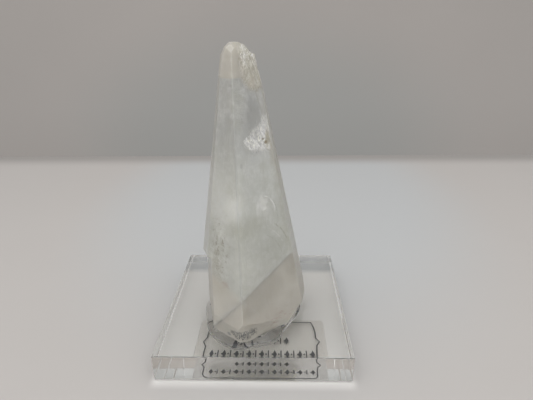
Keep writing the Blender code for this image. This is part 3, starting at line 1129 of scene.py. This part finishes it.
# Polished acrylic with faint handling haze on its faces and saw marks on its edges
def acrylicMaterial():
    s = Surface("clear acrylic")
    at = s.place()
    haze = s.cloud(at, 8.0, 5.0, 0.6, 0.5)
    saw = s.cloud(s.vector("MULTIPLY", at, (1.0, 1.0, 0.04)), 0.8, 3.0, 0.6)
    side = 1 - s.step(abs(s.facing("Z")), 0.2, 0.8)
    across, depth, height = (s.axis(at, letter) / mm for letter in "XYZ")
    dull = (s.step(height, *slab["dullBelow"]) * s.step(abs(across - slab["dullMiddle"]), *slab["dullSide"])
            * s.step(depth, *slab["dullBack"]) * s.step(depth, *slab["dullFront"]))
    gloss = s.step(haze, 0.45, 0.75) * 0.02 + 0.01 + side * saw * 0.06 + dull * 0.24
    bump = s.bump(side * saw, 0.02, 0.03)
    tint = s.blend(side, slab["tint"], slab["edgeTint"])
    return s.finish(s.principled(Base_Color=tint, Roughness=gloss, Transmission_Weight=1.0,
                                 IOR=slab["refraction"], Normal=bump))


slabMesh = makeSlab()
clearSlab = meshObject("clearSlab", slabMesh, acrylicMaterial(),
                       clearMaterial("acrylic under the glue", (1.0, 1.0, 1.0), 1.0, 0.0))
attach(clearSlab, "root")
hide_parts("base")
print("slab ready", len(slabMesh.polygons), "faces")


label = {
    "inkHeight": 0.54,  # just inside the slab's underside, as the real film is bonded to it
    "inkThick": 0.02,
    "hazeHeight": 0.515,
    "hazeThick": 0.01,
    "line": 0.32,
    "ink": (0.075, 0.077, 0.082),
    "film": ((-15.9, -24.75), (19.55, -6.0)),
    "corner": 1.2,
    "inside": ((1.8, -15.65, 0.515), (15.0, 90.0, 90.0), 0.02),  # where the adhesive is denser
    "outline": (
        (-12.6, -7.3), (15.9, -7.3), (16.53, -9.2), (16.87, -11.5), (16.85, -13.7), (17.76, -15.2),
        (16.95, -16.6), (16.8, -18.2), (16.6, -20.9), (16.74, -22.0), (16.4, -23.1), (15.7, -23.7),
        (-11.9, -23.9), (-12.76, -23.1), (-13.26, -21.7), (-13.3, -19.5), (-13.2, -17.2), (-14.0, -15.6),
        (-13.2, -13.8), (-13.2, -12.0), (-13.0, -9.0),
    ),
    "rows": (  # how many, first, pitch, height, row's place in y
        (9, -11.2, 3.35, 3.3, -19.9),
        (5, -4.6, 3.35, 3.0, -14.9),
    ),
    "lozenge": (0.17, 0.45),  # half sizes as shares of the pitch and the row's height
    "bar": (0.09, 0.80),  # whole sizes, and half sizes again for the dots
    "dot": (0.07, 0.08),
    "dotShift": 0.32,
}


def inkMaterial():
    s = Surface("label ink")
    color = s.blend(s.cloud(s.place(), 0.4, 3.0), label["ink"], scaled(label["ink"], 1.8))
    return s.finish(s.principled(Base_Color=color, Roughness=0.55))


def makeOutline(material):
    tree = Layout("label outline", LineWidth=label["line"] * mm, InkThickness=label["inkThick"] * mm)
    path = tree.add("GeometryNodeMeshToCurve", {}, {0: tree.given("Geometry")})
    path = tree.add("GeometryNodeSetCurveNormal", {"mode": "Z_UP"}, {0: path})
    pen = tree.add("GeometryNodeCurvePrimitiveQuadrilateral", {"mode": "RECTANGLE"},
                   {"Width": tree.given("LineWidth"), "Height": tree.given("InkThickness")})
    line = tree.add("GeometryNodeCurveToMesh", {}, {0: path, 1: pen})
    bm = bmesh.new()
    spots = [bm.verts.new(Vector((x, y, label["inkHeight"])) * mm) for x, y in label["outline"]]
    for index in range(len(spots)):
        bm.edges.new((spots[index - 1], spots[index]))
    return tree.run(line, material, fromBmesh(bm, "outline path"))


# A row of lozenges with a bar and two dots between each pair
def makeRow(material, count, first, pitch, tall, rowY):
    tree = Layout("ornament row", Count=count, FirstX=first * mm, RowY=rowY * mm, Pitch=pitch * mm,
                  Tall=tall * mm, Level=label["inkHeight"] * mm, InkThickness=label["inkThick"] * mm)
    whole = tree.given("Count")
    pitchWire = tree.given("Pitch")

    def stamps(kind, shape, part, count, shift, gap):
        across, up = label[part]
        size = tree.xyz(pitchWire * across, tree.given("Tall") * up, tree.given("InkThickness"))
        start = tree.xyz(tree.given("FirstX") + pitchWire * shift, tree.given("RowY"), tree.given("Level"))
        spots = tree.add("GeometryNodeMeshLine", {},
                         {"Count": count, "Start Location": start, "Offset": tree.xyz(pitchWire * gap)})
        stamp = tree.add(kind, {}, shape)
        return tree.add("GeometryNodeInstanceOnPoints", {},
                        {"Points": spots, "Instance": stamp, "Scale": size})

    lozenges = stamps("GeometryNodeMeshCylinder", {"Vertices": 4, "Radius": 1.0, "Depth": 1.0},
                      "lozenge", whole, 0.0, 1.0)
    bars = stamps("GeometryNodeMeshCube", {}, "bar", whole - 1, 0.5, 1.0)
    dots = stamps("GeometryNodeMeshCylinder", {"Vertices": 12, "Radius": 1.0, "Depth": 1.0},
                  "dot", whole * 2 - 2, label["dotShift"], 0.5)
    return tree.run(tree.joined(lozenges, bars, dots), material, bpy.data.meshes.new("no points"))


# Faintly milky adhesive between the film and the slab, denser inside the outline
def hazeMaterial():
    s = Surface("label adhesive")
    at = s.place()
    cloud = s.cloud(at, 3.0, 4.0)
    inner = s.patch(at, *label["inside"])
    color = s.blend(inner, (0.96, 0.95, 0.93), (0.94, 0.90, 0.84))
    white = s.principled(Base_Color=color, Roughness=0.8)
    return s.finish(s.mixed(cloud * 0.005 + inner * 0.004 + 0.002, s.seeThrough(), white))


def makeHaze():
    (left, front), (right, back) = label["film"]
    thick = label["hazeThick"]
    bm = bmesh.new()
    place = Matrix.Translation(((left + right) / 2.0, (front + back) / 2.0, label["hazeHeight"]))
    size = Matrix.Diagonal((right - left, back - front, thick, 1.0))
    bmesh.ops.create_cube(bm, size=1.0, matrix=place @ size)
    upright = [e for e in bm.edges if abs(e.verts[0].co.z - e.verts[1].co.z) > thick / 2.0]
    bmesh.ops.bevel(bm, geom=upright, offset=label["corner"], segments=6, profile=0.5, affect="EDGES")
    return inMetres(bm, "labelAdhesive")


ink = inkMaterial()
printed = [("labelOutline", makeOutline(ink))]
printed += [("labelRow" + str(index + 1), makeRow(ink, *row)) for index, row in enumerate(label["rows"])]
for name, mesh in printed:
    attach(meshObject(name, mesh), "root")
labelAdhesive = meshObject("labelAdhesive", makeHaze(), hazeMaterial())
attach(labelAdhesive, "root")


def filmMaterial():
    s = Surface("label film")
    gloss = s.cloud(s.place(), 2.0, 4.0) * 0.06 + 0.02
    return s.finish(s.principled(Base_Color=(0.995, 0.985, 0.97), Roughness=gloss,
                                 Transmission_Weight=1.0, IOR=1.03))


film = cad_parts["label"]
film.data.materials.clear()
film.data.materials.append(filmMaterial())
print("label ready", sum(len(mesh.polygons) for name, mesh in printed), "ink faces")
